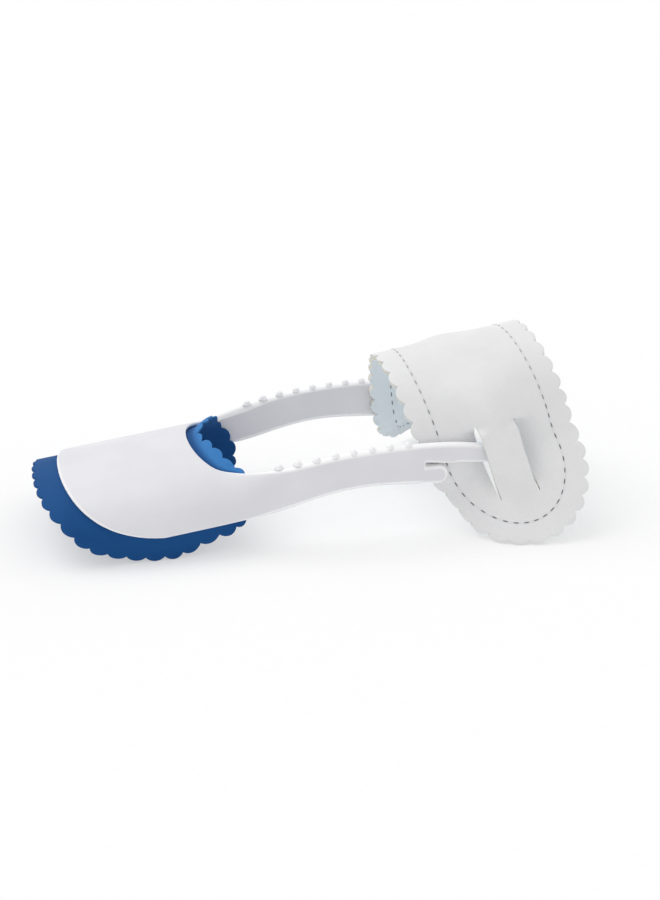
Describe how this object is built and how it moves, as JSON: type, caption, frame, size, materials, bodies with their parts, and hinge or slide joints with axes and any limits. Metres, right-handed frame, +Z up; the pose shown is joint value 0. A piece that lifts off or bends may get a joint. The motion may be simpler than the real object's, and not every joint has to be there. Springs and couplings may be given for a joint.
{
  "type": "sock aid",
  "caption": "Sock aid: a moulded half-round hood with a fabric liner and two arms, and a sewn leather strap that arches over the arms' ends and rocks on their tongues.",
  "frame": {"origin": "on the floor, under the middle of the bounding box", "axes": "+X from the hood to the strap, +Y across the two arms, +Z up from the floor"},
  "size_m": [0.3024, 0.1696, 0.0986],
  "materials": {
    "frame": "white moulded polypropylene, satin",
    "hood_liner": "blue slippery woven nylon on a thin backing",
    "liner_film": "adhesive film",
    "strap_skin": "white coated leather, matt",
    "strap_foam": "cream foam sheet, cut edge",
    "strap_lining": "pale blue-grey woven lining",
    "needle_thread": "grey sewing thread",
    "bobbin_thread": "grey sewing thread"
  },
  "bodies": {
    "frame": {"frame": "frame", "hood_liner": "hood_liner", "liner_film": "liner_film"},
    "strap": {"strap_skin": "strap_skin", "strap_foam": "strap_foam", "strap_lining": "strap_lining", "needle_thread": "needle_thread", "bobbin_thread": "bobbin_thread"}
  },
  "joints": [
    {"name": "strap_rock", "type": "hinge", "parent": "frame", "child": "strap", "pos_m": [0.0987, 0, 0.046], "axis": [0, 1, 0], "range_deg": [-20, 4]}
  ]
}
